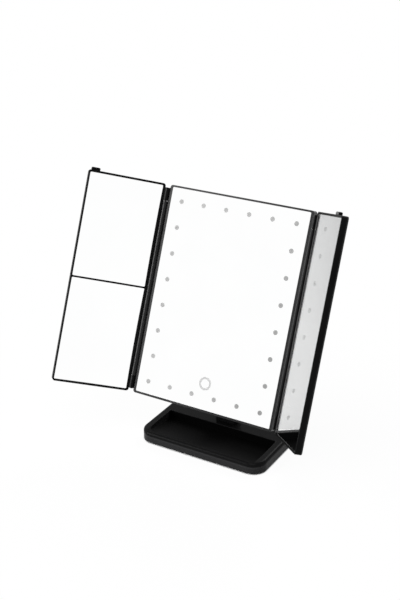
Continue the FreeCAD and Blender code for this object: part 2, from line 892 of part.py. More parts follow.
def base_screw_places():
    x = base_width / 2 - base_screw_inset
    y = base_depth / 2 - base_screw_inset
    return [V(sx * x, sy * y, base_pad_thickness) for sx in (-1, 1) for sy in (-1, 1)]


def tray_recess():
    """The open tray in front of the ledge: upright walls over a floor that sweeps up to the front."""
    floor = base_under + tray_floor
    front = -base_depth / 2 + tray_front_rim
    back = base_depth / 2 - tray_ledge
    half = base_width / 2 - tray_side_rim
    body = box(-half, half, front, back, floor, base_height + overshoot)
    upright = [edge for edge in edges_along(body, V(0, 0, 1)) if edge.CenterOfMass.y < front + tiny]
    body = body.makeFillet(tray_front_corner, upright)
    upright = [edge for edge in edges_along(body, V(0, 0, 1)) if edge.CenterOfMass.y > back - tiny]
    body = body.makeFillet(tray_back_corner, upright)
    lowest = back - tray_low_line
    run = lowest - front
    rise = base_height - tray_front_lip - floor
    sweep = (run ** 2 + rise ** 2) / (2 * rise)
    middle = floor + sweep
    body = body.common(rod(sweep, V(-base_width, lowest, middle), V(base_width, lowest, middle)))
    scooped = [face for face in body.Faces
               if isinstance(face.Surface, Part.Cylinder) and abs(face.Surface.Radius - sweep) < tiny]
    return body.makeFillet(tray_floor_round, scooped[0].Edges)


def recess_mouth(span):
    """Whether an edge of the tray's top, given by its box, belongs to the mouth of the recess."""
    half = base_width / 2 - tray_side_rim
    inside_x = span.XMin > -half - tiny and span.XMax < half + tiny
    front = -base_depth / 2 + tray_front_rim
    back = base_depth / 2 - tray_ledge
    return inside_x and span.YMin > front - tiny and span.YMax < back + tiny


def neck_socket():
    """The hole in the ledge that the neck's foot stands in."""
    grow = 2 * neck_socket_clearance
    section = neck_section(neck_foot_width + grow, neck_foot_depth + grow, neck_foot_round,
                           -neck_length - neck_foot_depth)
    hole = Part.Face(section).extrude(V(0, 0, 2 * neck_foot_depth + base_height))
    return on_neck(hole)


def base_tray():
    body = slab(base_width, base_depth, base_pad_thickness, base_height, base_corner)
    body = body.makeFillet(base_top_round, edges_in_plane(body, V(0, 0, 1), base_height))
    plate_room = slab(base_width - 2 * base_wall, base_depth - 2 * base_wall, 0, base_under,
                      base_corner - base_wall)
    cavity_front = base_depth / 2 - tray_ledge + base_wall
    cavity_back = base_depth / 2 - base_wall - base_top_round
    cavity_half = base_width / 2 - base_wall - base_top_round
    cavity = box(-cavity_half, cavity_half, cavity_front, cavity_back, 0, base_height - ledge_top)
    cavity = cavity.makeFillet(tray_back_corner, edges_along(cavity, V(0, 0, 1)))
    for place in base_screw_places():
        cavity = cavity.cut(rod(boss_radius, V(place.x, place.y, 0), V(place.x, place.y, base_height)))
    body = body.cut(tray_recess())
    mouth = [edge for edge in edges_in_plane(body, V(0, 0, 1), base_height)
             if recess_mouth(edge.BoundBox)]
    body = body.makeFillet(tray_edge_round, mouth)
    tools = [plate_room, cavity, neck_socket()]
    tools += [screw_hole(place, V(0, 0, 1), base_screw_length) for place in base_screw_places()]
    return cut(body, tools)


def base_bottom_plate():
    inset = 2 * (base_wall + base_plate_clearance)
    body = slab(base_width - inset, base_depth - inset, base_pad_thickness, base_under,
                base_corner - base_wall - base_plate_clearance)
    holes = [screw_hole(place, V(0, 0, 1), base_screw_length) for place in base_screw_places()]
    holes += [screw_hole(place, V(0, 0, 1), foot_screw_length) for place in foot_screw_seats()]
    return cut(body, holes)


def base_pad():
    """The anti-slip sheet under the base, with clearance holes round the screw heads."""
    inset = 2 * base_pad_margin
    body = slab(base_width - inset, base_depth - inset, 0, base_pad_thickness, base_corner - base_pad_margin)
    seats = base_screw_places() + foot_screw_seats()
    holes = []
    for place in seats:
        hole = screw_head_radius + screw_clearance
        holes.append(rod(hole, V(place.x, place.y, -overshoot), V(place.x, place.y, base_under)))
    return cut(body, holes)


def base_weights():
    """Two steel slugs under the ledge, one on each side of the neck's foot."""
    front = base_depth / 2 - tray_ledge + base_wall + weight_clearance
    back = base_depth / 2 - base_screw_inset - boss_radius - weight_clearance
    near = neck_foot_width / 2 + weight_neck_gap
    far = base_width / 2 - base_wall - base_top_round - tray_back_corner
    slugs = []
    for side in (-1, 1):
        x0, x1 = sorted((side * near, side * far))
        slugs.append(box(x0, x1, front, back, base_under, base_under + weight_thickness))
    return slugs


def group(solids):
    return Part.makeCompound(solids)


def heads(solids):
    return group([on_head(solid) for solid in solids])


def wings(solids, side, angle):
    return group([on_wing(solid, side, angle) for solid in solids])


def left(shape):
    return on_wing(shape, -1, left_wing_angle)


def right(shape):
    return on_wing(shape, 1, right_wing_angle)


nodes = {
    "base_tray": base_tray(),
    "base_bottom_plate": base_bottom_plate(),
    "base_pad": base_pad(),
    "base_weights": group(base_weights()),
    "base_screws": group([screw(place, V(0, 0, 1), base_screw_length) for place in base_screw_places()]),
    "neck_front": neck_half(True),
    "neck_rear": neck_half(False),
    "neck_clamp_screws": group([on_neck(screw(place, V(0, -1, 0), neck_screw_length))
                                for place in neck_screw_seats()]),
    "neck_foot_screws": group([screw(place, V(0, 0, 1), foot_screw_length) for place in foot_screw_seats()]),
    "centre_frame": on_head(centre_frame()),
    "centre_mirror": on_head(glass(centre_width, 0)),
    "centre_mirror_pads": heads(centre_pads()),
    "led_board": on_head(led_board()),
    "leds": heads(leds()),
    "touch_sensor": on_head(touch_sensor()),
    "centre_back_cover": on_head(centre_back_cover()),
    "back_cover_screws": heads([screw(place, V(0, -1, 0), cover_screw_length)
                                for place in cover_screw_places()]),
    "control_board": on_head(control_board()),
    "usb_socket": on_head(usb_socket()),
    "switch_body": on_head(switch_body()),
    "switch_slider": on_head(switch_slider()),
    "battery_cells": heads(battery_cells()),
    "battery_contacts": heads(battery_contacts()),
    "battery_cover": on_head(battery_cover()),
    "tilt_bolt": on_head(tilt_bolt()),
    "tilt_nut": on_head(tilt_nut()),
    "tilt_washers": heads(tilt_washers()),
    "left_hinge_pins": heads(hinge_pins(-1)),
    "right_hinge_pins": heads(hinge_pins(1)),
    "left_wing_frame": left(wing_frame(True)),
    "left_wing_back": left(wing_back(True)),
    "left_upper_mirror": left(left_mirror(True)),
    "left_lower_mirror": left(left_mirror(False)),
    "left_mirror_pads": wings(wing_pads(True), -1, left_wing_angle),
    "right_wing_frame": right(wing_frame(False)),
    "right_wing_back": right(wing_back(False)),
    "right_mirror": right(glass(wing_width, wing_mid)),
    "right_mirror_pads": wings(wing_pads(False), 1, right_wing_angle),
}

os.makedirs("parts", exist_ok=True)
for name, shape in nodes.items():
    shape.exportStep("parts/" + name + ".step")
    state = "valid" if shape.isValid() else "INVALID"
    print(name, len(shape.Solids), "solids", round(shape.Volume, 1), "mm3", state)
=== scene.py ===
import math

import bmesh
import bpy
from mathutils import Matrix, Vector


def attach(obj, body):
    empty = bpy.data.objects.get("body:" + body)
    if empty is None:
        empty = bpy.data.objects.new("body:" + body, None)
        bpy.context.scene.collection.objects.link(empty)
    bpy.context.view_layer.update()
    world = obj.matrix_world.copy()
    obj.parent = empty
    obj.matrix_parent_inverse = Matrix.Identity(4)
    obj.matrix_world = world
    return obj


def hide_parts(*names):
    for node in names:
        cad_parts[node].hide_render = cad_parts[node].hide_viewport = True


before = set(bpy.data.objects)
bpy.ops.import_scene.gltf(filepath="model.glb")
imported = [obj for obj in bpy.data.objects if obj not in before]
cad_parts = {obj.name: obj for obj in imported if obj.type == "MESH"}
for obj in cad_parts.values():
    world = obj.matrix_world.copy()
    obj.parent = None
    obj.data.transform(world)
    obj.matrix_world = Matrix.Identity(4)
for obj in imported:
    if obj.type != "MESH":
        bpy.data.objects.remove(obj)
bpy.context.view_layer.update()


# Base tray: one injection moulding in black ABS with a scooped recess for small things, a low rim
# and a ledge at the back. The ledge is satin and mirrors the neck's foot, and the recess is matt.
# Light and shade are painted into its colour: the walls are painted lighter, as if lit, with
# painted highlights high on the walls and along the recess's lip, and painted shade darkens the
# recess to the back and to the right.

MM = 0.001
base_height = 14.0 * MM
recess_half = 69.6 * MM
recess_front, recess_back = -47.0 * MM, 5.0 * MM
recess_edge = 1.2 * MM
# Painted light: the walls are painted lighter than the top, with a painted highlight high on them.
painted_lit_wall = (0.023, 0.023, 0.0237)
painted_edge_highlight = (0.031, 0.031, 0.032)
ledge_black = (0.006, 0.006, 0.0062)
wall_share, edge_highlight_share, ledge_share = 0.5, 0.62, 0.72
# Painted shade: the recess is painted darker to the back and to the right.
recess_shade_front = (0.008, 0.008, 0.0082)
recess_shade_back = (0.001, 0.001, 0.001)
recess_shade_lean = 0.25
recess_shade_end = 0.75
# Painted highlight along the recess's lip, strongest at its back edge.
lip_highlight_tones = ((0.018, 0.018, 0.0185), (0.026, 0.026, 0.0268))
lip_highlight_strength = 3.0
ledge_gloss = (0.16, 0.3)
scoop_gloss = (0.82, 0.95)
sheen_waves, sheen_detail = 55.0, 5.0
tray_grain = 0.5 * MM
tray_grain_depth = 0.004 * MM


def blank_material(name):
    """A new material with its node tree, its shader and the object's own coordinates."""
    material = bpy.data.materials.new(name)
    material.use_nodes = True
    tree = material.node_tree
    shader = tree.nodes["Principled BSDF"]
    place = tree.nodes.new("ShaderNodeTexCoord").outputs["Object"]
    return material, tree, shader, place


def noise(tree, place, waves, detail=3.0):
    """A noise value at so many waves a metre."""
    texture = tree.nodes.new("ShaderNodeTexNoise")
    texture.inputs["Scale"].default_value = waves
    texture.inputs["Detail"].default_value = detail
    tree.links.new(place, texture.inputs["Vector"])
    return texture.outputs["Fac"]


def axes(tree, place):
    """A place's X, Y and Z."""
    split = tree.nodes.new("ShaderNodeSeparateXYZ")
    tree.links.new(place, split.inputs["Vector"])
    return split.outputs


def sum_of(tree, operation, *values):
    """One step of arithmetic on sockets and plain numbers."""
    node = tree.nodes.new("ShaderNodeMath")
    node.operation = operation
    for socket, value in zip(node.inputs, values):
        if isinstance(value, float):
            socket.default_value = value
        else:
            tree.links.new(value, socket)
    return node.outputs["Value"]


def between(tree, value, low, high, start=0.0, end=1.0):
    """A value that goes from low to high as the given one goes from start to end."""
    stretch = tree.nodes.new("ShaderNodeMapRange")
    stretch.inputs["From Min"].default_value = start
    stretch.inputs["From Max"].default_value = end
    stretch.inputs["To Min"].default_value = low
    stretch.inputs["To Max"].default_value = high
    tree.links.new(value, stretch.inputs["Value"])
    return stretch.outputs["Result"]


def two_tones(tree, value, dark, light, low=0.35, high=0.65):
    """A colour that goes from dark to light as the value goes from low to high."""
    ramp = tree.nodes.new("ShaderNodeValToRGB")
    ramp.color_ramp.elements[0].position = low
    ramp.color_ramp.elements[0].color = (*dark, 1.0)
    ramp.color_ramp.elements[1].position = high
    ramp.color_ramp.elements[1].color = (*light, 1.0)
    tree.links.new(value, ramp.inputs["Fac"])
    return ramp.outputs["Color"]


def mixed(tree, kind, share, first, second):
    """Two colours or two numbers mixed by a share."""
    node = tree.nodes.new("ShaderNodeMix")
    node.data_type = kind
    ends = [socket for socket in node.inputs if socket.enabled]
    for socket, value in zip(ends, (share, first, second)):
        tree.links.new(value, socket)
    return next(socket for socket in node.outputs if socket.enabled)


def coat(tree, shader, colour, roughness):
    """Gives a shader its colour and its gloss."""
    tree.links.new(colour, shader.inputs["Base Color"])
    tree.links.new(roughness, shader.inputs["Roughness"])


def grain(tree, shader, height, depth):
    """Surface relief of a real depth in metres."""
    bump = tree.nodes.new("ShaderNodeBump")
    bump.inputs["Distance"].default_value = depth
    tree.links.new(height, bump.inputs["Height"])
    tree.links.new(bump.outputs["Normal"], shader.inputs["Normal"])


def dress(material, *nodes):
    """Gives CAD nodes their finish."""
    for node in nodes:
        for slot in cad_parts[node].material_slots:
            slot.material = material


def tray_plastic(name):
    """Black ABS: satin ledge and rims and a matt recess, with painted light on the walls and painted shade in
    the recess.
    """
    material, tree, shader, place = blank_material(name)
    axis = axes(tree, place)
    middle = (recess_front + recess_back) / 2
    reach = (recess_back - recess_front) / 2
    aside = sum_of(tree, "ABSOLUTE", axis["X"])
    off_middle = sum_of(tree, "ABSOLUTE", sum_of(tree, "SUBTRACT", axis["Y"], middle))
    recess = sum_of(tree, "MULTIPLY",
                    between(tree, aside, 1.0, 0.0, recess_half, recess_half + recess_edge),
                    between(tree, off_middle, 1.0, 0.0, reach, reach + recess_edge))
    rise = between(tree, axis["Z"], 0.0, 1.0, 0.0, base_height)
    # Painted light: walls painted lighter than the ledge and rims, and a painted highlight high on them.
    outside = two_tones(tree, rise, painted_lit_wall, ledge_black, wall_share, ledge_share)
    outside.node.color_ramp.elements.new(edge_highlight_share).color = (*painted_edge_highlight, 1.0)
    # Painted shade: the recess darkens from front to back and from left to right.
    depth = between(tree, axis["Y"], 0.0, 1.0, recess_front, recess_back)
    lean = between(tree, axis["X"], -recess_shade_lean, recess_shade_lean, -recess_half, recess_half)
    scoop = two_tones(tree, sum_of(tree, "ADD", depth, lean), recess_shade_front, recess_shade_back, 0.0, recess_shade_end)
    finish = mixed(tree, "RGBA", recess, outside, scoop)
    sheen = noise(tree, place, sheen_waves, sheen_detail)
    # Painted highlight: a lighter band along the recess's lip, strongest towards the back.
    edge = sum_of(tree, "MULTIPLY", recess, sum_of(tree, "SUBTRACT", 1.0, recess))
    lip = sum_of(tree, "MULTIPLY", sum_of(tree, "MULTIPLY", edge, depth), lip_highlight_strength)
    colour = mixed(tree, "RGBA", lip, finish, two_tones(tree, sheen, *lip_highlight_tones))
    ledge_sheen = between(tree, sheen, *ledge_gloss)
    scoop_sheen = between(tree, sheen, *scoop_gloss)
    coat(tree, shader, colour, mixed(tree, "FLOAT", recess, ledge_sheen, scoop_sheen))
    shader.inputs["Specular IOR Level"].default_value = 0.03
    grain(tree, shader, noise(tree, place, 1 / tray_grain, detail=1.0), tray_grain_depth)
    return material


dress(tray_plastic("base_tray_abs"), "base_tray")


# Bottom plate and anti-slip sheet: a flat ABS plate closes the base and carries a die-cut sheet of
# black rubber with a fine waffle on its face, glued on inside the rim.

melt_waves = 24.0
waffle_pitch = 2.2 * MM
waffle_depth = 0.2 * MM
groove_share = 0.12
groove_blur = 0.6


def moulded_plastic(name, dark, light, gloss, specular, grain_size, grain_depth):
    """Black ABS: the melt's faint colour drift, uneven gloss and the mould's spark-eroded grain."""
    material, tree, shader, place = blank_material(name)
    drift = noise(tree, place, melt_waves)
    sheen = noise(tree, place, sheen_waves, sheen_detail)
    coat(tree, shader, two_tones(tree, drift, dark, light), between(tree, sheen, *gloss))
    shader.inputs["Specular IOR Level"].default_value = specular
    grain(tree, shader, noise(tree, place, 1 / grain_size, detail=1.0), grain_depth)
    return material


def patchy_gloss(tree, place, waves, shiny, dull):
    """A roughness that drifts between shiny and dull patches."""
    return between(tree, noise(tree, place, waves), shiny, dull)


def waffle_rubber(name):
    """Rubber with a waffle of small squares, dusty in its grooves."""
    material, tree, shader, place = blank_material(name)
    tiles = tree.nodes.new("ShaderNodeTexBrick")
    tiles.offset = 0.0
    tiles.inputs["Scale"].default_value = 1.0
    tiles.inputs["Brick Width"].default_value = waffle_pitch
    tiles.inputs["Row Height"].default_value = waffle_pitch
    tiles.inputs["Mortar Size"].default_value = waffle_pitch * groove_share
    tiles.inputs["Mortar Smooth"].default_value = groove_blur
    tiles.inputs["Color1"].default_value = (0.011, 0.011, 0.011, 1.0)
    tiles.inputs["Color2"].default_value = (0.015, 0.015, 0.015, 1.0)
    tiles.inputs["Mortar"].default_value = (0.03, 0.029, 0.028, 1.0)
    tree.links.new(place, tiles.inputs["Vector"])
    coat(tree, shader, tiles.outputs["Color"], patchy_gloss(tree, place, waves=120.0, shiny=0.6, dull=0.85))
    shader.inputs["Specular IOR Level"].default_value = 0.25
    grain(tree, shader, sum_of(tree, "SUBTRACT", 1.0, tiles.outputs["Fac"]), waffle_depth)
    return material


cover_plastic = moulded_plastic("cover_spark_abs", dark=(0.006, 0.006, 0.0062), light=(0.013, 0.013, 0.0135),
                                gloss=(0.42, 0.58), specular=0.18,
                                grain_size=0.35 * MM, grain_depth=0.03 * MM)
dress(cover_plastic, "base_bottom_plate")
dress(waffle_rubber("pad_waffle_rubber"), "base_pad")


# Weights: two slugs sawn from flat steel bar, with the mill scale left on. They lie loose in the
# hollow under the ledge and keep the base down when the head leans back.

line_depth = 0.006 * MM
blotch_waves = 260.0


def bar_steel(name, dark, light, gloss, grain_way=(1.0, 1.0, 1.0), grain_waves=900.0):
    """Metal with fine lines that run one way, and blotches in its gloss."""
    material, tree, shader, place = blank_material(name)
    lay = tree.nodes.new("ShaderNodeMapping")
    lay.inputs["Scale"].default_value = grain_way
    tree.links.new(place, lay.inputs["Vector"])
    lines = noise(tree, lay.outputs["Vector"], grain_waves, detail=4.0)
    coat(tree, shader, two_tones(tree, lines, dark, light), patchy_gloss(tree, place, blotch_waves, *gloss))
    shader.inputs["Metallic"].default_value = 1.0
    grain(tree, shader, lines, line_depth)
    return material


slug_steel = bar_steel("slug_steel", dark=(0.16, 0.155, 0.15), light=(0.3, 0.29, 0.28), gloss=(0.4, 0.6),
                       grain_way=(0.1, 1.0, 1.0))
dress(slug_steel, "base_weights")


# Screws: small cross-recess pan heads in bright zinc. Four hold the bottom plate, two come up into
# the neck's foot, two clamp the neck's halves and four hold the back cover at its corners.

head_radius = 2.2 * MM
head_height = 1.2 * MM
head_dome = ((1.0, 0.0), (1.0, 0.45), (0.94, 0.72), (0.78, 0.92), (0.5, 1.0), (0.0, 1.0))
shank_radius = 1.1 * MM
point_length = 0.6 * MM
point_share = 0.7
slot_width = 0.62 * MM
slot_length = 2.7 * MM
slot_depth = 0.8 * MM
screw_steps = 28
zinc = bar_steel("bright_zinc", dark=(0.5, 0.51, 0.53), light=(0.68, 0.69, 0.7), gloss=(0.22, 0.38),
                 grain_waves=1500.0)


def new_piece(name, mesh, material=None):
    """A mesh as an object at the origin."""
    piece = bpy.data.objects.new(name, mesh)
    bpy.context.scene.collection.objects.link(piece)
    if material:
        mesh.materials.clear()
        mesh.materials.append(material)
    return piece


def settle(piece):
    """Turns what the modifiers give into the piece's plain mesh."""
    bpy.context.view_layer.update()
    made = piece.evaluated_get(bpy.context.evaluated_depsgraph_get())
    mesh = bpy.data.meshes.new_from_object(made)
    piece.modifiers.clear()
    piece.data = mesh


def mesh_of(body, name):
    """A finished bmesh as a mesh."""
    mesh = bpy.data.meshes.new(name)
    body.to_mesh(mesh)
    body.free()
    return mesh


def turned(name, profile, steps, closed=False):
    """A body turned about Z from (radius, height) points, from axis to axis or in a closed loop."""
    body = bmesh.new()
    rings = []
    for radius, height in profile:
        ring = []
        for step in range(steps if radius else 1):
            angle = 2 * math.pi * step / steps
            ring.append(body.verts.new((radius * math.cos(angle), radius * math.sin(angle), height)))
        rings.append(ring)
    for low, high in zip(rings, rings[1:] + (rings[:1] if closed else [])):
        for step in range(steps):
            after = (step + 1) % steps
            corners = [low[step % len(low)], low[after % len(low)]]
            corners += [high[after % len(high)], high[step % len(high)]]
            body.faces.new(list(dict.fromkeys(corners)))
    bmesh.ops.recalc_face_normals(body, faces=body.faces)
    return mesh_of(body, name)


def carve(piece, cutters):
    """Takes cutters out of a piece and throws them away."""
    for cutter in cutters:
        take = piece.modifiers.new("cut", "BOOLEAN")
        take.operation = "DIFFERENCE"
        take.solver = "EXACT"
        take.object = cutter
    settle(piece)
    for cutter in cutters:
        bpy.data.objects.remove(cutter)


def screw_mesh(length):
    """One screw, its seat at height 0 and its head up."""
    profile = [(0.0, -length), (shank_radius * point_share, -length), (shank_radius, point_length - length),
               (shank_radius, 0.0)]
    profile += [(head_radius * out, head_height * up) for out, up in head_dome]
    screw = new_piece("screw_blank", turned("screw", profile, screw_steps))
    cutters = []
    for across, along in ((slot_length, slot_width), (slot_width, slot_length)):
        slot = bmesh.new()
        size = Matrix.Diagonal((across, along, slot_depth * 2, 1.0))
        bmesh.ops.create_cube(slot, size=1.0, matrix=Matrix.Translation((0, 0, head_height)) @ size)
        cutters.append(new_piece("screw_slot", mesh_of(slot, "screw_slot")))
    carve(screw, cutters)
    mesh = screw.data
    bpy.data.objects.remove(screw)
    return mesh


def pattern_tree(name, result, *inputs):
    """An empty Geometry Nodes tree, its input sockets by name and what they give."""
    tree = bpy.data.node_groups.new(name, "GeometryNodeTree")
    sockets = {}
    for label, kind in inputs:
        sockets[label] = tree.interface.new_socket(label, in_out="INPUT", socket_type="NodeSocket" + kind)
    tree.interface.new_socket(result, in_out="OUTPUT", socket_type="NodeSocketGeometry")
    return tree, sockets, tree.nodes.new("NodeGroupInput").outputs


def point_grid(tree, across, along, columns, rows):
    """An even grid of points."""
    grid = tree.nodes.new("GeometryNodeMeshGrid")
    tree.links.new(across, grid.inputs["Size X"])
    tree.links.new(along, grid.inputs["Size Y"])
    tree.links.new(columns, grid.inputs["Vertices X"])
    tree.links.new(rows, grid.inputs["Vertices Y"])
    return grid.outputs["Mesh"]


def copies_on(tree, points, one, finish):
    """Ends a pattern: one thing copied on every point, made real and given its material."""
    copies = tree.nodes.new("GeometryNodeInstanceOnPoints")
    tree.links.new(points, copies.inputs["Points"])
    tree.links.new(one, copies.inputs["Instance"])
    whole = tree.nodes.new("GeometryNodeRealizeInstances")
    tree.links.new(copies.outputs["Instances"], whole.inputs["Geometry"])
    coated = tree.nodes.new("GeometryNodeSetMaterial")
    tree.links.new(whole.outputs["Geometry"], coated.inputs["Geometry"])
    tree.links.new(finish, coated.inputs["Material"])
    out = tree.nodes.new("NodeGroupOutput")
    tree.links.new(coated.outputs["Geometry"], out.inputs[0])
    return copies


def screw_pattern():
    """Geometry Nodes: copies one screw over a grid, each driven home at its own angle."""
    tree, sockets, given = pattern_tree("screws_on_a_grid", "Screws", ("Screw", "Geometry"),
                                        ("Columns", "Int"), ("Rows", "Int"), ("Across", "Float"),
                                        ("Along", "Float"), ("Finish", "Material"))
    points = point_grid(tree, given["Across"], given["Along"], given["Columns"], given["Rows"])
    copies = copies_on(tree, points, given["Screw"], given["Finish"])
    turn = tree.nodes.new("FunctionNodeRandomValue")
    turn.data_type = "FLOAT"
    turn.inputs["Max"].default_value = math.pi
    turn.inputs["Seed"].default_value = 7
    spin = tree.nodes.new("ShaderNodeCombineXYZ")
    tree.links.new(turn.outputs[1], spin.inputs["Z"])
    tree.links.new(spin.outputs["Vector"], copies.inputs["Rotation"])
    return tree, sockets


def lay_pattern(piece, tree, sockets, settings):
    """Runs a pattern on a piece and keeps the plain mesh that it gives."""
    pattern = piece.modifiers.new(tree.name, "NODES")
    pattern.node_group = tree
    for label, setting in settings.items():
        pattern[sockets[label].identifier] = setting
    settle(piece)


screw_tree, screw_inputs = screw_pattern()


def drive_screws(name, node, body, placing, length, columns, rows, across, along):
    """Sets a grid of screws in place of a CAD node; placing takes the grid, heads up Z, to the object."""
    piece = new_piece(name, screw_mesh(length), zinc)
    lay_pattern(piece, screw_tree, screw_inputs, {"Columns": columns, "Rows": rows, "Across": across,
                                                  "Along": along, "Finish": zinc})
    piece.data.transform(placing)
    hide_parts(node)
    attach(piece, body)


pad_thickness = 1.5 * MM
heads_down = Matrix.Rotation(math.pi, 4, "X")
heads_back = Matrix.Rotation(-math.pi / 2, 4, "X")
drive_screws("bottom_plate_screws", "base_screws", "stand",
             Matrix.Translation((0, 0, pad_thickness)) @ heads_down,
             length=7.0 * MM, columns=2, rows=2, across=133.0 * MM, along=77.0 * MM)

neck_foot_y = 21.0 * MM
foot_screw_x, foot_screw_y = 7.5 * MM, 3.75 * MM
foot_turn = Matrix.Rotation(math.atan2(foot_screw_y, foot_screw_x), 4, "Z")
drive_screws("foot_screws", "neck_foot_screws", "stand",
             Matrix.Translation((0, neck_foot_y, pad_thickness)) @ foot_turn @ heads_down,
             length=8.0 * MM, columns=2, rows=1, across=2 * math.hypot(foot_screw_x, foot_screw_y), along=0.0)


# Neck: two tapered ABS halves, front and rear, that stand in the ledge's socket and clamp round the
# tilt bolt. Their faces are a shade glossier than the covers.

neck_plastic = moulded_plastic("neck_satin_abs", dark=(0.004, 0.004, 0.0042), light=(0.009, 0.009, 0.0095),
                               gloss=(0.24, 0.36), specular=0.2, grain_size=0.5 * MM, grain_depth=0.006 * MM)
dress(neck_plastic, "neck_front", "neck_rear")

pivot = Vector((0, 16.5, 127.5)) * MM
base_under = 3.0 * MM
neck_rise = pivot.z - base_under
neck_lean = math.atan2(neck_foot_y - pivot.y, neck_rise)
neck_length = math.hypot(neck_foot_y - pivot.y, neck_rise)
clamp_low, clamp_high = 0.72 * neck_length, 0.30 * neck_length
neck_depth = 14.0 * MM
head_sink = 0.15 * MM
clamp_seat = neck_depth / 2 - head_height - head_sink
neck_to_stand = Matrix.Translation(pivot) @ Matrix.Rotation(neck_lean, 4, "X")
drive_screws("neck_screws", "neck_clamp_screws", "stand",
             neck_to_stand @ Matrix.Translation((0, clamp_seat, -(clamp_low + clamp_high) / 2)) @ heads_back,
             length=9.0 * MM, columns=1, rows=2, across=0.0, along=clamp_low - clamp_high)


# Tilt joint: a blackened steel bolt and nut squeeze the neck's barrel between the back cover's two
# lugs, with a nylon washer on each side for an even drag.

bolt_steel = bar_steel("blackened_steel", dark=(0.05, 0.05, 0.052), light=(0.11, 0.11, 0.115),
                       gloss=(0.28, 0.42), grain_way=(0.2, 1.0, 1.0))
dress(bolt_steel, "tilt_bolt", "tilt_nut")


def nylon(name):
    """Natural nylon: milky, a little cloudy and faintly pitted."""
    material, tree, shader, place = blank_material(name)
    cloud = noise(tree, place, waves=180.0)
    milky = two_tones(tree, cloud, dark=(0.62, 0.6, 0.55), light=(0.72, 0.7, 0.66))
    coat(tree, shader, milky, patchy_gloss(tree, place, waves=420.0, shiny=0.35, dull=0.5))
    shader.inputs["Subsurface Weight"].default_value = 0.15
    grain(tree, shader, noise(tree, place, waves=900.0, detail=2.0), depth=0.01 * MM)
    return material


dress(nylon("washer_nylon"), "tilt_washers")


# Centre frame: a thin ABS ring with a lip over the glass, and a long hinge barrel moulded on each
# side. It is more polished than the covers, and has a painted highlight along its left barrel.

frame_plastic = moulded_plastic("frame_polished_abs", dark=(0.007, 0.007, 0.0072),
                                light=(0.013, 0.013, 0.0135), gloss=(0.2, 0.32), specular=0.16,
                                grain_size=0.4 * MM, grain_depth=0.004 * MM)
dress(frame_plastic, "centre_frame")

head_tilt = math.radians(-22.5)
pivot_on_panel = Vector((0, 29.0, 88.0)) * MM
panel_to_head = (Matrix.Translation(pivot) @ Matrix.Rotation(head_tilt, 4, "X")
                 @ Matrix.Translation(-pivot_on_panel))
hinge_x = 91.2 * MM
hinge_proud = 1.0 * MM
left, right = -1, 1
open_flat = 0.0
# Painted highlight strips: their noise, drift and soft edge.
light_strip_waves = 300.0
light_strip_drift = 0.15
light_strip_fade = 0.2 * MM
barrel_flank = (0.2 * MM, 2.4 * MM)
barrel_front = (-2.4 * MM, 0.8 * MM)


def vector_step(tree, operation, first, second=(0.0, 0.0, 0.0)):
    """One step of arithmetic on a place and a fixed vector."""
    node = tree.nodes.new("ShaderNodeVectorMath")
    node.operation = operation
    tree.links.new(first, node.inputs[0])
    node.inputs[1].default_value = second
    return node.outputs["Value" if operation in ("DOT_PRODUCT", "LENGTH") else "Vector"]


def reach_along(tree, place, start, way):
    """How far a place lies from a start along a way."""
    return vector_step(tree, "DOT_PRODUCT", vector_step(tree, "SUBTRACT", place, start), way)


def hinge_ways(side, fold):
    """A hinge pin's foot, and the ways out along a panel that is folded so far and behind it."""
    turn = panel_to_head.to_3x3()
    pin = panel_to_head @ Vector((side * hinge_x, -hinge_proud, 0))
    out = turn @ Vector((side * math.cos(fold), -math.sin(fold), 0))
    behind = turn @ Vector((side * math.sin(fold), math.cos(fold), 0))
    return pin, out, behind


def paint_light_strip(material, side, fold, outward, behind, tone):
    """Paints a highlight into a plastic: a lighter strip from a hinge's pin out along a panel and behind it.
    """
    tree = material.node_tree
    shader = tree.nodes["Principled BSDF"]
    colour = shader.inputs["Base Color"].links[0].from_socket
    place = tree.nodes.new("ShaderNodeTexCoord").outputs["Object"]
    pin, out_way, behind_way = hinge_ways(side, fold)
    inside = []
    for way, (near, far) in ((out_way, outward), (behind_way, behind)):
        middle, half = (near + far) / 2, (far - near) / 2
        reach = reach_along(tree, place, pin, way)
        off_middle = sum_of(tree, "ABSOLUTE", sum_of(tree, "SUBTRACT", reach, middle))
        inside.append(between(tree, off_middle, 1.0, 0.0, half, half + light_strip_fade))
    painted_light = two_tones(tree, noise(tree, place, light_strip_waves),
                       [(1 - light_strip_drift) * tone] * 3, [(1 + light_strip_drift) * tone] * 3)
    painted_light = mixed(tree, "RGBA", sum_of(tree, "MULTIPLY", *inside), colour, painted_light)
    tree.links.new(painted_light, shader.inputs["Base Color"])


# Painted highlight on the left barrel's flank.
paint_light_strip(frame_plastic, left, open_flat, barrel_flank, barrel_front, tone=0.075)


# Centre mirror: a float-glass plate silvered on its back and held with strips of foam tape. Left in
# the silver are 24 clear windows for the lamps and a ring that marks the touch sensor.

clean_silver = (0.995, 0.997, 0.997)
haze_waves, haze_detail = 18.0, 6.0
haze_gloss = (0.0, 0.02)
haze_tint = 0.99
glass_front = 0.5 * MM
centre_width = 177.4 * MM
panel_height = 239.0 * MM
lamp_columns, lamp_rows = 6, 8
lamp_side_inset = 17.4 * MM
lamp_end_inset = 16.6 * MM
column_pitch = (centre_width - 2 * lamp_side_inset) / (lamp_columns - 1)
row_pitch = (panel_height - 2 * lamp_end_inset) / (lamp_rows - 1)
window_radius = 2.65 * MM
window_depth = 0.06 * MM
window_steps, window_rings = 32, 4
window_fade = (0.2, 0.9)
pale_window = ((0.38, 0.38, 0.376), (0.415, 0.415, 0.415))
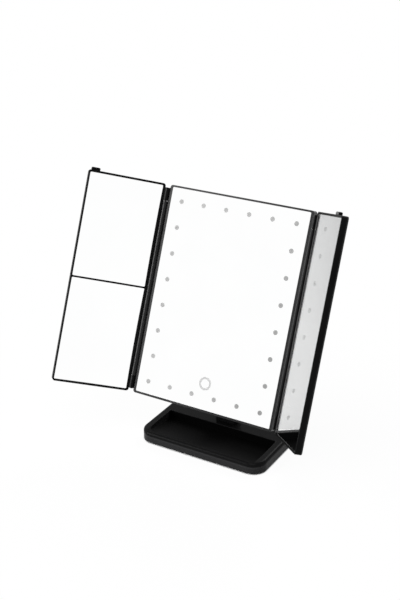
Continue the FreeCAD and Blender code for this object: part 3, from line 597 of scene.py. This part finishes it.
# Painted shade: the windows go greyer towards the panel's lower right.
shaded_window = ((0.25, 0.25, 0.247), (0.275, 0.275, 0.275))
lower_right = (1.0, 0.0, -0.32)
shade_reach = (-54.0 * MM, 46.0 * MM)
ring_outer = 7.4 * MM
ring_inner = 5.05 * MM
ring_steps = 96
ring_height = lamp_end_inset + row_pitch / 2 - panel_height / 2
frost_depth = 0.001 * MM
on_glass = (panel_to_head @ Matrix.Translation((0, glass_front, panel_height / 2))
            @ Matrix.Rotation(math.pi / 2, 4, "X"))


def silvered_glass(name, tint):
    """A mirror with the faintest haze of wiped glass."""
    material, tree, shader, place = blank_material(name)
    haze = noise(tree, place, haze_waves, haze_detail)
    silver = two_tones(tree, haze, [haze_tint * share for share in tint], tint)
    coat(tree, shader, silver, between(tree, haze, *haze_gloss))
    shader.inputs["Metallic"].default_value = 1.0
    return material


def etched_glass(name):
    """Frosted glass over an unlit lamp: darker in its middle, with painted shade to the panel's lower right.
    """
    material, tree, shader, place = blank_material(name)
    spot = tree.nodes.new("ShaderNodeAttribute")
    spot.attribute_name = "from_middle"
    pale = two_tones(tree, spot.outputs["Fac"], *pale_window, *window_fade)
    grey = two_tones(tree, spot.outputs["Fac"], *shaded_window, *window_fade)
    # Painted shade: greyer towards the panel's lower right.
    aside = between(tree, vector_step(tree, "DOT_PRODUCT", place, lower_right), 0.0, 1.0, *shade_reach)
    frost = noise(tree, place, waves=900.0, detail=2.0)
    coat(tree, shader, mixed(tree, "RGBA", aside, pale, grey), between(tree, frost, low=0.6, high=0.7))
    shader.inputs["Specular IOR Level"].default_value = 0.2
    grain(tree, shader, frost, frost_depth)
    return material


def ring_frost(name):
    """The touch mark: finely etched glass over a pale print."""
    material, tree, shader, place = blank_material(name)
    frost = noise(tree, place, waves=2600.0, detail=2.0)
    pale = two_tones(tree, frost, dark=(0.44, 0.44, 0.44), light=(0.48, 0.48, 0.48))
    coat(tree, shader, pale, between(tree, frost, low=0.4, high=0.6))
    grain(tree, shader, frost, frost_depth)
    return material


def window_pattern():
    """Geometry Nodes: a thin round window on each outer point of an even grid."""
    tree, sockets, given = pattern_tree("lamp_windows", "Windows", ("Columns", "Int"), ("Rows", "Int"),
                                        ("Column pitch", "Float"), ("Row pitch", "Float"),
                                        ("Radius", "Float"), ("Depth", "Float"), ("Finish", "Material"))
    place = tree.nodes.new("GeometryNodeInputPosition").outputs["Position"]
    width = sum_of(tree, "MULTIPLY", sum_of(tree, "SUBTRACT", given["Columns"], 1.0), given["Column pitch"])
    height = sum_of(tree, "MULTIPLY", sum_of(tree, "SUBTRACT", given["Rows"], 1.0), given["Row pitch"])
    axis = axes(tree, place)
    inner = []
    for label, size, pitch in (("X", width, given["Column pitch"]), ("Y", height, given["Row pitch"])):
        off_middle = sum_of(tree, "ABSOLUTE", axis[label])
        rim = sum_of(tree, "MULTIPLY", sum_of(tree, "SUBTRACT", size, pitch), 0.5)
        inner.append(sum_of(tree, "LESS_THAN", off_middle, rim))
    clear = tree.nodes.new("GeometryNodeDeleteGeometry")
    clear.domain = "POINT"
    tree.links.new(point_grid(tree, width, height, given["Columns"], given["Rows"]), clear.inputs["Geometry"])
    tree.links.new(sum_of(tree, "MULTIPLY", *inner), clear.inputs["Selection"])
    disc = tree.nodes.new("GeometryNodeMeshCylinder")
    disc.fill_type = "TRIANGLE_FAN"
    disc.inputs["Vertices"].default_value = window_steps
    disc.inputs["Fill Segments"].default_value = window_rings
    tree.links.new(given["Radius"], disc.inputs["Radius"])
    tree.links.new(given["Depth"], disc.inputs["Depth"])
    mark = tree.nodes.new("GeometryNodeStoreNamedAttribute")
    mark.data_type = "FLOAT"
    mark.domain = "POINT"
    mark.inputs["Name"].default_value = "from_middle"
    tree.links.new(disc.outputs["Mesh"], mark.inputs["Geometry"])
    from_middle = sum_of(tree, "DIVIDE", vector_step(tree, "LENGTH", place), given["Radius"])
    tree.links.new(from_middle, mark.inputs["Value"])
    copies_on(tree, clear.outputs["Geometry"], mark.outputs["Geometry"], given["Finish"])
    return tree, sockets


mirror_silver = silvered_glass("mirror_silver", clean_silver)
dress(mirror_silver, "centre_mirror")

windows = new_piece("lamp_windows", bpy.data.meshes.new("lamp_windows"))
lay_pattern(windows, *window_pattern(), {"Columns": lamp_columns, "Rows": lamp_rows,
                                         "Column pitch": column_pitch, "Row pitch": row_pitch,
                                         "Radius": window_radius, "Depth": window_depth,
                                         "Finish": etched_glass("window_frost")})
windows.data.transform(on_glass)
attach(windows, "head")

ring_profile = ((ring_inner, -window_depth / 2), (ring_inner, window_depth / 2),
                (ring_outer, window_depth / 2), (ring_outer, -window_depth / 2))
ring_mesh = turned("touch_ring", ring_profile, ring_steps, closed=True)
ring_mesh.transform(on_glass @ Matrix.Translation((0, ring_height, 0)))
touch_ring = new_piece("touch_ring", ring_mesh, ring_frost("ring_frost"))
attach(touch_ring, "head")


# Behind the glass: foam tape, the white lamp board with its 24 lamps, and the copper foil of the
# touch sensor. None of it shows while the panel is closed.

foam_waves = 1800.0
foam_depth = 0.2 * MM
track_run, track_width = 5, 0.16
mask_drift = 0.88
mask_depth = 0.035 * MM


def foam(name):
    """Closed-cell foam tape, cut so that its cells show."""
    material, tree, shader, place = blank_material(name)
    cells = tree.nodes.new("ShaderNodeTexVoronoi")
    cells.inputs["Scale"].default_value = foam_waves
    tree.links.new(place, cells.inputs["Vector"])
    walls = two_tones(tree, cells.outputs["Distance"], dark=(0.12, 0.12, 0.12), light=(0.2, 0.2, 0.2),
                      low=0.1, high=0.6)
    coat(tree, shader, walls, patchy_gloss(tree, place, waves=300.0, shiny=0.85, dull=0.98))
    grain(tree, shader, cells.outputs["Distance"], foam_depth)
    return material


def circuit_board(name, mask, copper, pitch):
    """Solder mask over a pattern of tracks."""
    material, tree, shader, place = blank_material(name)
    tracks = tree.nodes.new("ShaderNodeTexBrick")
    tracks.inputs["Scale"].default_value = 1.0
    tracks.inputs["Brick Width"].default_value = pitch * track_run
    tracks.inputs["Row Height"].default_value = pitch
    tracks.inputs["Mortar Size"].default_value = pitch * track_width
    tracks.inputs["Color1"].default_value = (*mask, 1.0)
    tracks.inputs["Color2"].default_value = (*[mask_drift * share for share in mask], 1.0)
    tracks.inputs["Mortar"].default_value = (*copper, 1.0)
    tree.links.new(place, tracks.inputs["Vector"])
    coat(tree, shader, tracks.outputs["Color"], patchy_gloss(tree, place, waves=200.0, shiny=0.25, dull=0.4))
    grain(tree, shader, tracks.outputs["Fac"], mask_depth)
    return material


def lamp_case(name):
    """White lamp case with a yellow gel."""
    material, tree, shader, place = blank_material(name)
    cloud = noise(tree, place, waves=700.0)
    gel = two_tones(tree, cloud, dark=(0.8, 0.68, 0.25), light=(0.85, 0.84, 0.8))
    coat(tree, shader, gel, patchy_gloss(tree, place, waves=500.0, shiny=0.25, dull=0.45))
    grain(tree, shader, noise(tree, place, waves=1200.0, detail=1.0), depth=0.01 * MM)
    return material


foam_tape = foam("foam_tape")
dress(foam_tape, "centre_mirror_pads")
lamp_board = circuit_board("lamp_board_white", mask=(0.75, 0.75, 0.73), copper=(0.6, 0.58, 0.52),
                           pitch=2.4 * MM)
dress(lamp_board, "led_board")
dress(lamp_case("lamp_case"), "leds")
sensor_copper = bar_steel("sensor_copper", dark=(0.55, 0.27, 0.14), light=(0.75, 0.42, 0.25),
                          gloss=(0.25, 0.4))
dress(sensor_copper, "touch_sensor")


# Back cover: an ABS moulding with a raised housing, two lugs for the tilt bolt and a battery bay.
# Its outside is spark-eroded to a fine matt grain, and four corner screws hold it on.

dress(cover_plastic, "centre_back_cover")
cover_screw_inset = 4.0 * MM
cover_screw_seat = 8.8 * MM
drive_screws("cover_screws", "back_cover_screws", "head",
             panel_to_head @ Matrix.Translation((0, cover_screw_seat, panel_height / 2)) @ heads_back,
             length=5.0 * MM, columns=2, rows=2, across=centre_width - 2 * cover_screw_inset,
             along=panel_height - 2 * cover_screw_inset)


# Control board, socket and switch: a green board in the housing, a nickel-plated micro-USB shell in
# the housing's lower wall, and a small slide switch whose black thumb stands proud of the back.

control_board = circuit_board("control_board_green", mask=(0.012, 0.085, 0.03), copper=(0.03, 0.14, 0.05),
                              pitch=1.6 * MM)
dress(control_board, "control_board")
shell_nickel = bar_steel("shell_nickel", dark=(0.55, 0.54, 0.52), light=(0.7, 0.69, 0.66), gloss=(0.18, 0.32),
                         grain_way=(1.0, 1.0, 0.15))
dress(shell_nickel, "usb_socket")
switch_plastic = moulded_plastic("switch_pbt", dark=(0.012, 0.012, 0.012), light=(0.02, 0.02, 0.02),
                                 gloss=(0.3, 0.45), specular=0.4, grain_size=0.3 * MM, grain_depth=0.004 * MM)
dress(switch_plastic, "switch_body", "switch_slider")


# Batteries: four AAA cells lie side by side in the bay between sprung nickel contacts, in a plain
# dark shrink wrap with pale bands and bare ends. The door lies flush over them.

cell_half = 22.25 * MM
wrap_dark = (0.02, 0.03, 0.06)
band_grey = (0.45, 0.46, 0.47)
bare_end = (0.6, 0.6, 0.58)
band_start, band_end, wrap_end = 0.7, 0.76, 0.955


def cell_wrap(name):
    """Shrink wrap in steps along a cell: dark, a pale band, dark again and the bare end."""
    material, tree, shader, place = blank_material(name)
    reach = sum_of(tree, "ABSOLUTE", axes(tree, place)["X"])
    wrap = two_tones(tree, between(tree, reach, 0.0, 1.0, 0.0, cell_half), wrap_dark, bare_end, 0.0, wrap_end)
    steps = wrap.node.color_ramp
    steps.interpolation = "CONSTANT"
    steps.elements.new(band_start).color = (*band_grey, 1.0)
    steps.elements.new(band_end).color = (*wrap_dark, 1.0)
    coat(tree, shader, wrap, patchy_gloss(tree, place, waves=220.0, shiny=0.2, dull=0.35))
    shader.inputs["Metallic"].default_value = 0.4
    grain(tree, shader, noise(tree, place, waves=160.0, detail=2.0), depth=0.03 * MM)
    return material


dress(cell_wrap("cell_wrap"), "battery_cells")
dress(shell_nickel, "battery_contacts")
dress(cover_plastic, "battery_cover")


# Wings: thin ABS frames on steel hinge pins, with snap-on back covers. The left one holds two dished
# magnifying mirrors with a divider between, and the right one a single flat mirror whose silver
# carries painted shade. Both frames carry painted highlights.

right_fold = math.radians(51.0)
knuckle_flank = (-2.6 * MM, 0.4 * MM)
lip_strip = ((5.0 * MM, 6.0 * MM), (1.1 * MM, 2.0 * MM))
tab_strip = ((58.0 * MM, 74.0 * MM), (2.6 * MM, 3.2 * MM))
wing_reach = 90.0 * MM
# Painted shade: the right mirror's silver is greyed towards its top and outer edge.
shade_rise = (112.0 * MM, 236.0 * MM)
low_painted_shade = ((0.85, 0.854, 0.854), (0.757, 0.761, 0.761))
high_painted_shade = ((0.75, 0.754, 0.754), (0.622, 0.626, 0.626))
speck_waves = 2400.0
speck_edge = (0.47, 0.49)
speck_roughness = 0.5
clear_edge = (2.0 * MM, 26.0 * MM)
foot_slope = 0.258
foot_edge = (3.3 * MM, 4.5 * MM)


def wing_plastic(name):
    """The wings' moulding, the blackest of the satin ones."""
    return moulded_plastic(name, dark=(0.003, 0.003, 0.0031), light=(0.006, 0.006, 0.0062),
                           gloss=(0.3, 0.42), specular=0.03, grain_size=0.4 * MM, grain_depth=0.004 * MM)


def bloomed_glass(name):
    """Silver with painted shade, greyer to the top and outer edge, and fine specks of bloom above a clear
    foot.
    """
    material, tree, shader, place = blank_material(name)
    pin, out = hinge_ways(right, right_fold)[:2]
    up = panel_to_head.to_3x3() @ Vector((0, 0, 1))
    out_reach = reach_along(tree, place, pin, out)
    across = between(tree, out_reach, 0.0, 1.0, 0.0, wing_reach)
    rise = between(tree, reach_along(tree, place, pin, up), 0.0, 1.0, *shade_rise)
    # Painted shade: greyer towards the outer edge and the top.
    low = two_tones(tree, across, *low_painted_shade, 0.0, 1.0)
    high = two_tones(tree, across, *high_painted_shade, 0.0, 1.0)
    dots = noise(tree, place, speck_waves, detail=1.0)
    specks = between(tree, dots, 0.0, speck_roughness, *speck_edge)
    bloom = sum_of(tree, "MULTIPLY", specks, between(tree, out_reach, 0.0, 1.0, *clear_edge))
    above_foot = between(tree, reach_along(tree, place, pin, up - foot_slope * out), 0.0, 1.0, *foot_edge)
    haze = between(tree, noise(tree, place, haze_waves, haze_detail), *haze_gloss)
    fog = sum_of(tree, "MULTIPLY_ADD", bloom, above_foot, haze)
    coat(tree, shader, mixed(tree, "RGBA", rise, low, high), fog)
    shader.inputs["Metallic"].default_value = 1.0
    return material


left_plastic = wing_plastic("left_wing_abs")
# Painted highlight on the left wing's knuckles.
paint_light_strip(left_plastic, left, open_flat, barrel_flank, barrel_front, tone=0.05)
dress(left_plastic, "left_wing_frame")
right_plastic = wing_plastic("right_wing_abs")
# Painted highlights on the right wing: its knuckles, a strip along its mirror's lip and its tab's front face.
paint_light_strip(right_plastic, right, open_flat, knuckle_flank, barrel_front, tone=0.035)
paint_light_strip(right_plastic, right, right_fold, *lip_strip, tone=0.1)
paint_light_strip(right_plastic, right, right_fold, *tab_strip, tone=0.12)
dress(right_plastic, "right_wing_frame")
dress(cover_plastic, "left_wing_back", "right_wing_back")
dress(mirror_silver, "left_upper_mirror", "left_lower_mirror")
dress(bloomed_glass("right_mirror_silver"), "right_mirror")
dress(foam_tape, "left_mirror_pads", "right_mirror_pads")
pin_steel = bar_steel("pin_steel", dark=(0.5, 0.5, 0.5), light=(0.62, 0.62, 0.62), gloss=(0.2, 0.3),
                      grain_way=(1.0, 1.0, 0.1))
dress(pin_steel, "left_hinge_pins", "right_hinge_pins")


# Surround and floor: a white sweep of paper. Camera, mirror and glass rays see plain white, and the
# floor keeps a light shadow that is full under the base and fades away from it.

sky_strength = 0.25
paper_grey = (0.9, 0.9, 0.9, 1.0)
white = (1.0, 1.0, 1.0, 1.0)
floor_radius = 6.0
floor_steps = 96
shadow_share = 0.06
shadow_reach = (0.1, 0.45)
footprint_x, footprint_y = 79.0 * MM, 51.0 * MM
footprint_corner = 17.0 * MM
contact_edge = (footprint_corner - 0.5 * MM, footprint_corner + 1.0 * MM)


def seen_rays(tree):
    """1 for rays that show the background: camera, glossy and transmission rays."""
    path = tree.nodes.new("ShaderNodeLightPath").outputs
    seen = path["Is Camera Ray"]
    for ray in ("Is Glossy Ray", "Is Transmission Ray"):
        seen = sum_of(tree, "MAXIMUM", seen, path[ray])
    return seen


def show(tree, share, first, second, output):
    """Mixes two shaders by a share into a tree's output."""
    mix = tree.nodes.new("ShaderNodeMixShader")
    for socket, value in zip(mix.inputs, (share, first, second)):
        tree.links.new(value, socket)
    tree.links.new(mix.outputs["Shader"], tree.nodes[output].inputs["Surface"])


world = bpy.data.worlds.new("studio")
bpy.context.scene.world = world
world.use_nodes = True
sky = world.node_tree
sky_light = sky.nodes["Background"]
sky_light.inputs["Color"].default_value = white
sky_light.inputs["Strength"].default_value = sky_strength
sky_white = sky.nodes.new("ShaderNodeBackground")
sky_white.inputs["Color"].default_value = white
sky_white.inputs["Strength"].default_value = 1.0
show(sky, seen_rays(sky), sky_light.outputs["Background"], sky_white.outputs["Background"], "World Output")

floor_paper, paper, paper_shade, spot = blank_material("floor_paper")
paper_shade.inputs["Base Color"].default_value = paper_grey
paper_shade.inputs["Roughness"].default_value = 0.9
paper_shade.inputs["Specular IOR Level"].default_value = 0.0
paper_white = paper.nodes.new("ShaderNodeEmission")
paper_white.inputs["Color"].default_value = white
paper_white.inputs["Strength"].default_value = 1.0
faded = between(paper, vector_step(paper, "LENGTH", spot), 1.0 - shadow_share, 1.0, *shadow_reach)
corner_middle = (footprint_x - footprint_corner, footprint_y - footprint_corner, 0.0)
past_corner = vector_step(paper, "SUBTRACT", vector_step(paper, "ABSOLUTE", spot), corner_middle)
past_base = vector_step(paper, "LENGTH", vector_step(paper, "MAXIMUM", past_corner))
clear_of_base = between(paper, past_base, 0.0, 1.0, *contact_edge)
white_share = sum_of(paper, "MULTIPLY", sum_of(paper, "MULTIPLY", seen_rays(paper), faded), clear_of_base)
show(paper, white_share, paper_shade.outputs["BSDF"], paper_white.outputs["Emission"], "Material Output")
floor_body = bmesh.new()
bmesh.ops.create_circle(floor_body, cap_ends=True, segments=floor_steps, radius=floor_radius)
floor = new_piece("floor", mesh_of(floor_body, "floor"), floor_paper)


# Lamps: three large softboxes, to the left of the mirror, above it and behind it. The mirrors are
# kept out of their light, so that they show the white surround and no lamp.

mirror_middle = Vector((0.0, 0.0, 0.17))
unlit_glass = bpy.data.collections.new("unlit_glass")
for node in ("centre_mirror", "left_upper_mirror", "left_lower_mirror", "right_mirror"):
    unlit_glass.objects.link(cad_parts[node])
for listed in unlit_glass.collection_objects:
    listed.light_linking.link_state = "EXCLUDE"


def softbox(name, place, width, height, radiance):
    """A soft lamp that faces the mirror and lights all but its glass."""
    lamp = bpy.data.lights.new(name, "AREA")
    lamp.shape = "RECTANGLE"
    lamp.size = width
    lamp.size_y = height
    lamp.energy = radiance * math.pi * width * height
    stand = bpy.data.objects.new(name, lamp)
    bpy.context.scene.collection.objects.link(stand)
    stand.location = place
    stand.rotation_euler = (mirror_middle - Vector(place)).to_track_quat("-Z", "Y").to_euler()
    stand.light_linking.receiver_collection = unlit_glass


softbox("key_softbox", (-1.56, -1.4, 1.0), width=1.45, height=1.6, radiance=6.4)
softbox("top_softbox", (0.35, -0.9, 1.9), width=1.2, height=1.2, radiance=3.6)
softbox("back_softbox", (0.2, 1.8, 1.6), width=1.2, height=1.2, radiance=6.0)


# Camera: above the panel and to its right, as the photograph was taken. Its place, turn and lens
# come from a fit to the lamps, the panel's edges and the base.

image_height = 600
focal_pixels = 1116.46
camera_place = Vector((0.55590, -0.95307, 0.68338))
camera_right = Vector((0.857442, 0.514400, -0.013598))
camera_down = Vector((0.204730, -0.365265, -0.908112))
camera_ahead = Vector((-0.472100, 0.775870, -0.418507))
lens = bpy.data.cameras.new("camera")
lens.sensor_fit = "VERTICAL"
lens.angle = 2 * math.atan(image_height / 2 / focal_pixels)
camera = bpy.data.objects.new("camera", lens)
bpy.context.scene.collection.objects.link(camera)
turn = Matrix((camera_right, -camera_down, -camera_ahead)).transposed()
camera.matrix_world = Matrix.Translation(camera_place) @ turn.to_4x4()
bpy.context.scene.camera = camera
bpy.context.scene.view_settings.view_transform = "Standard"
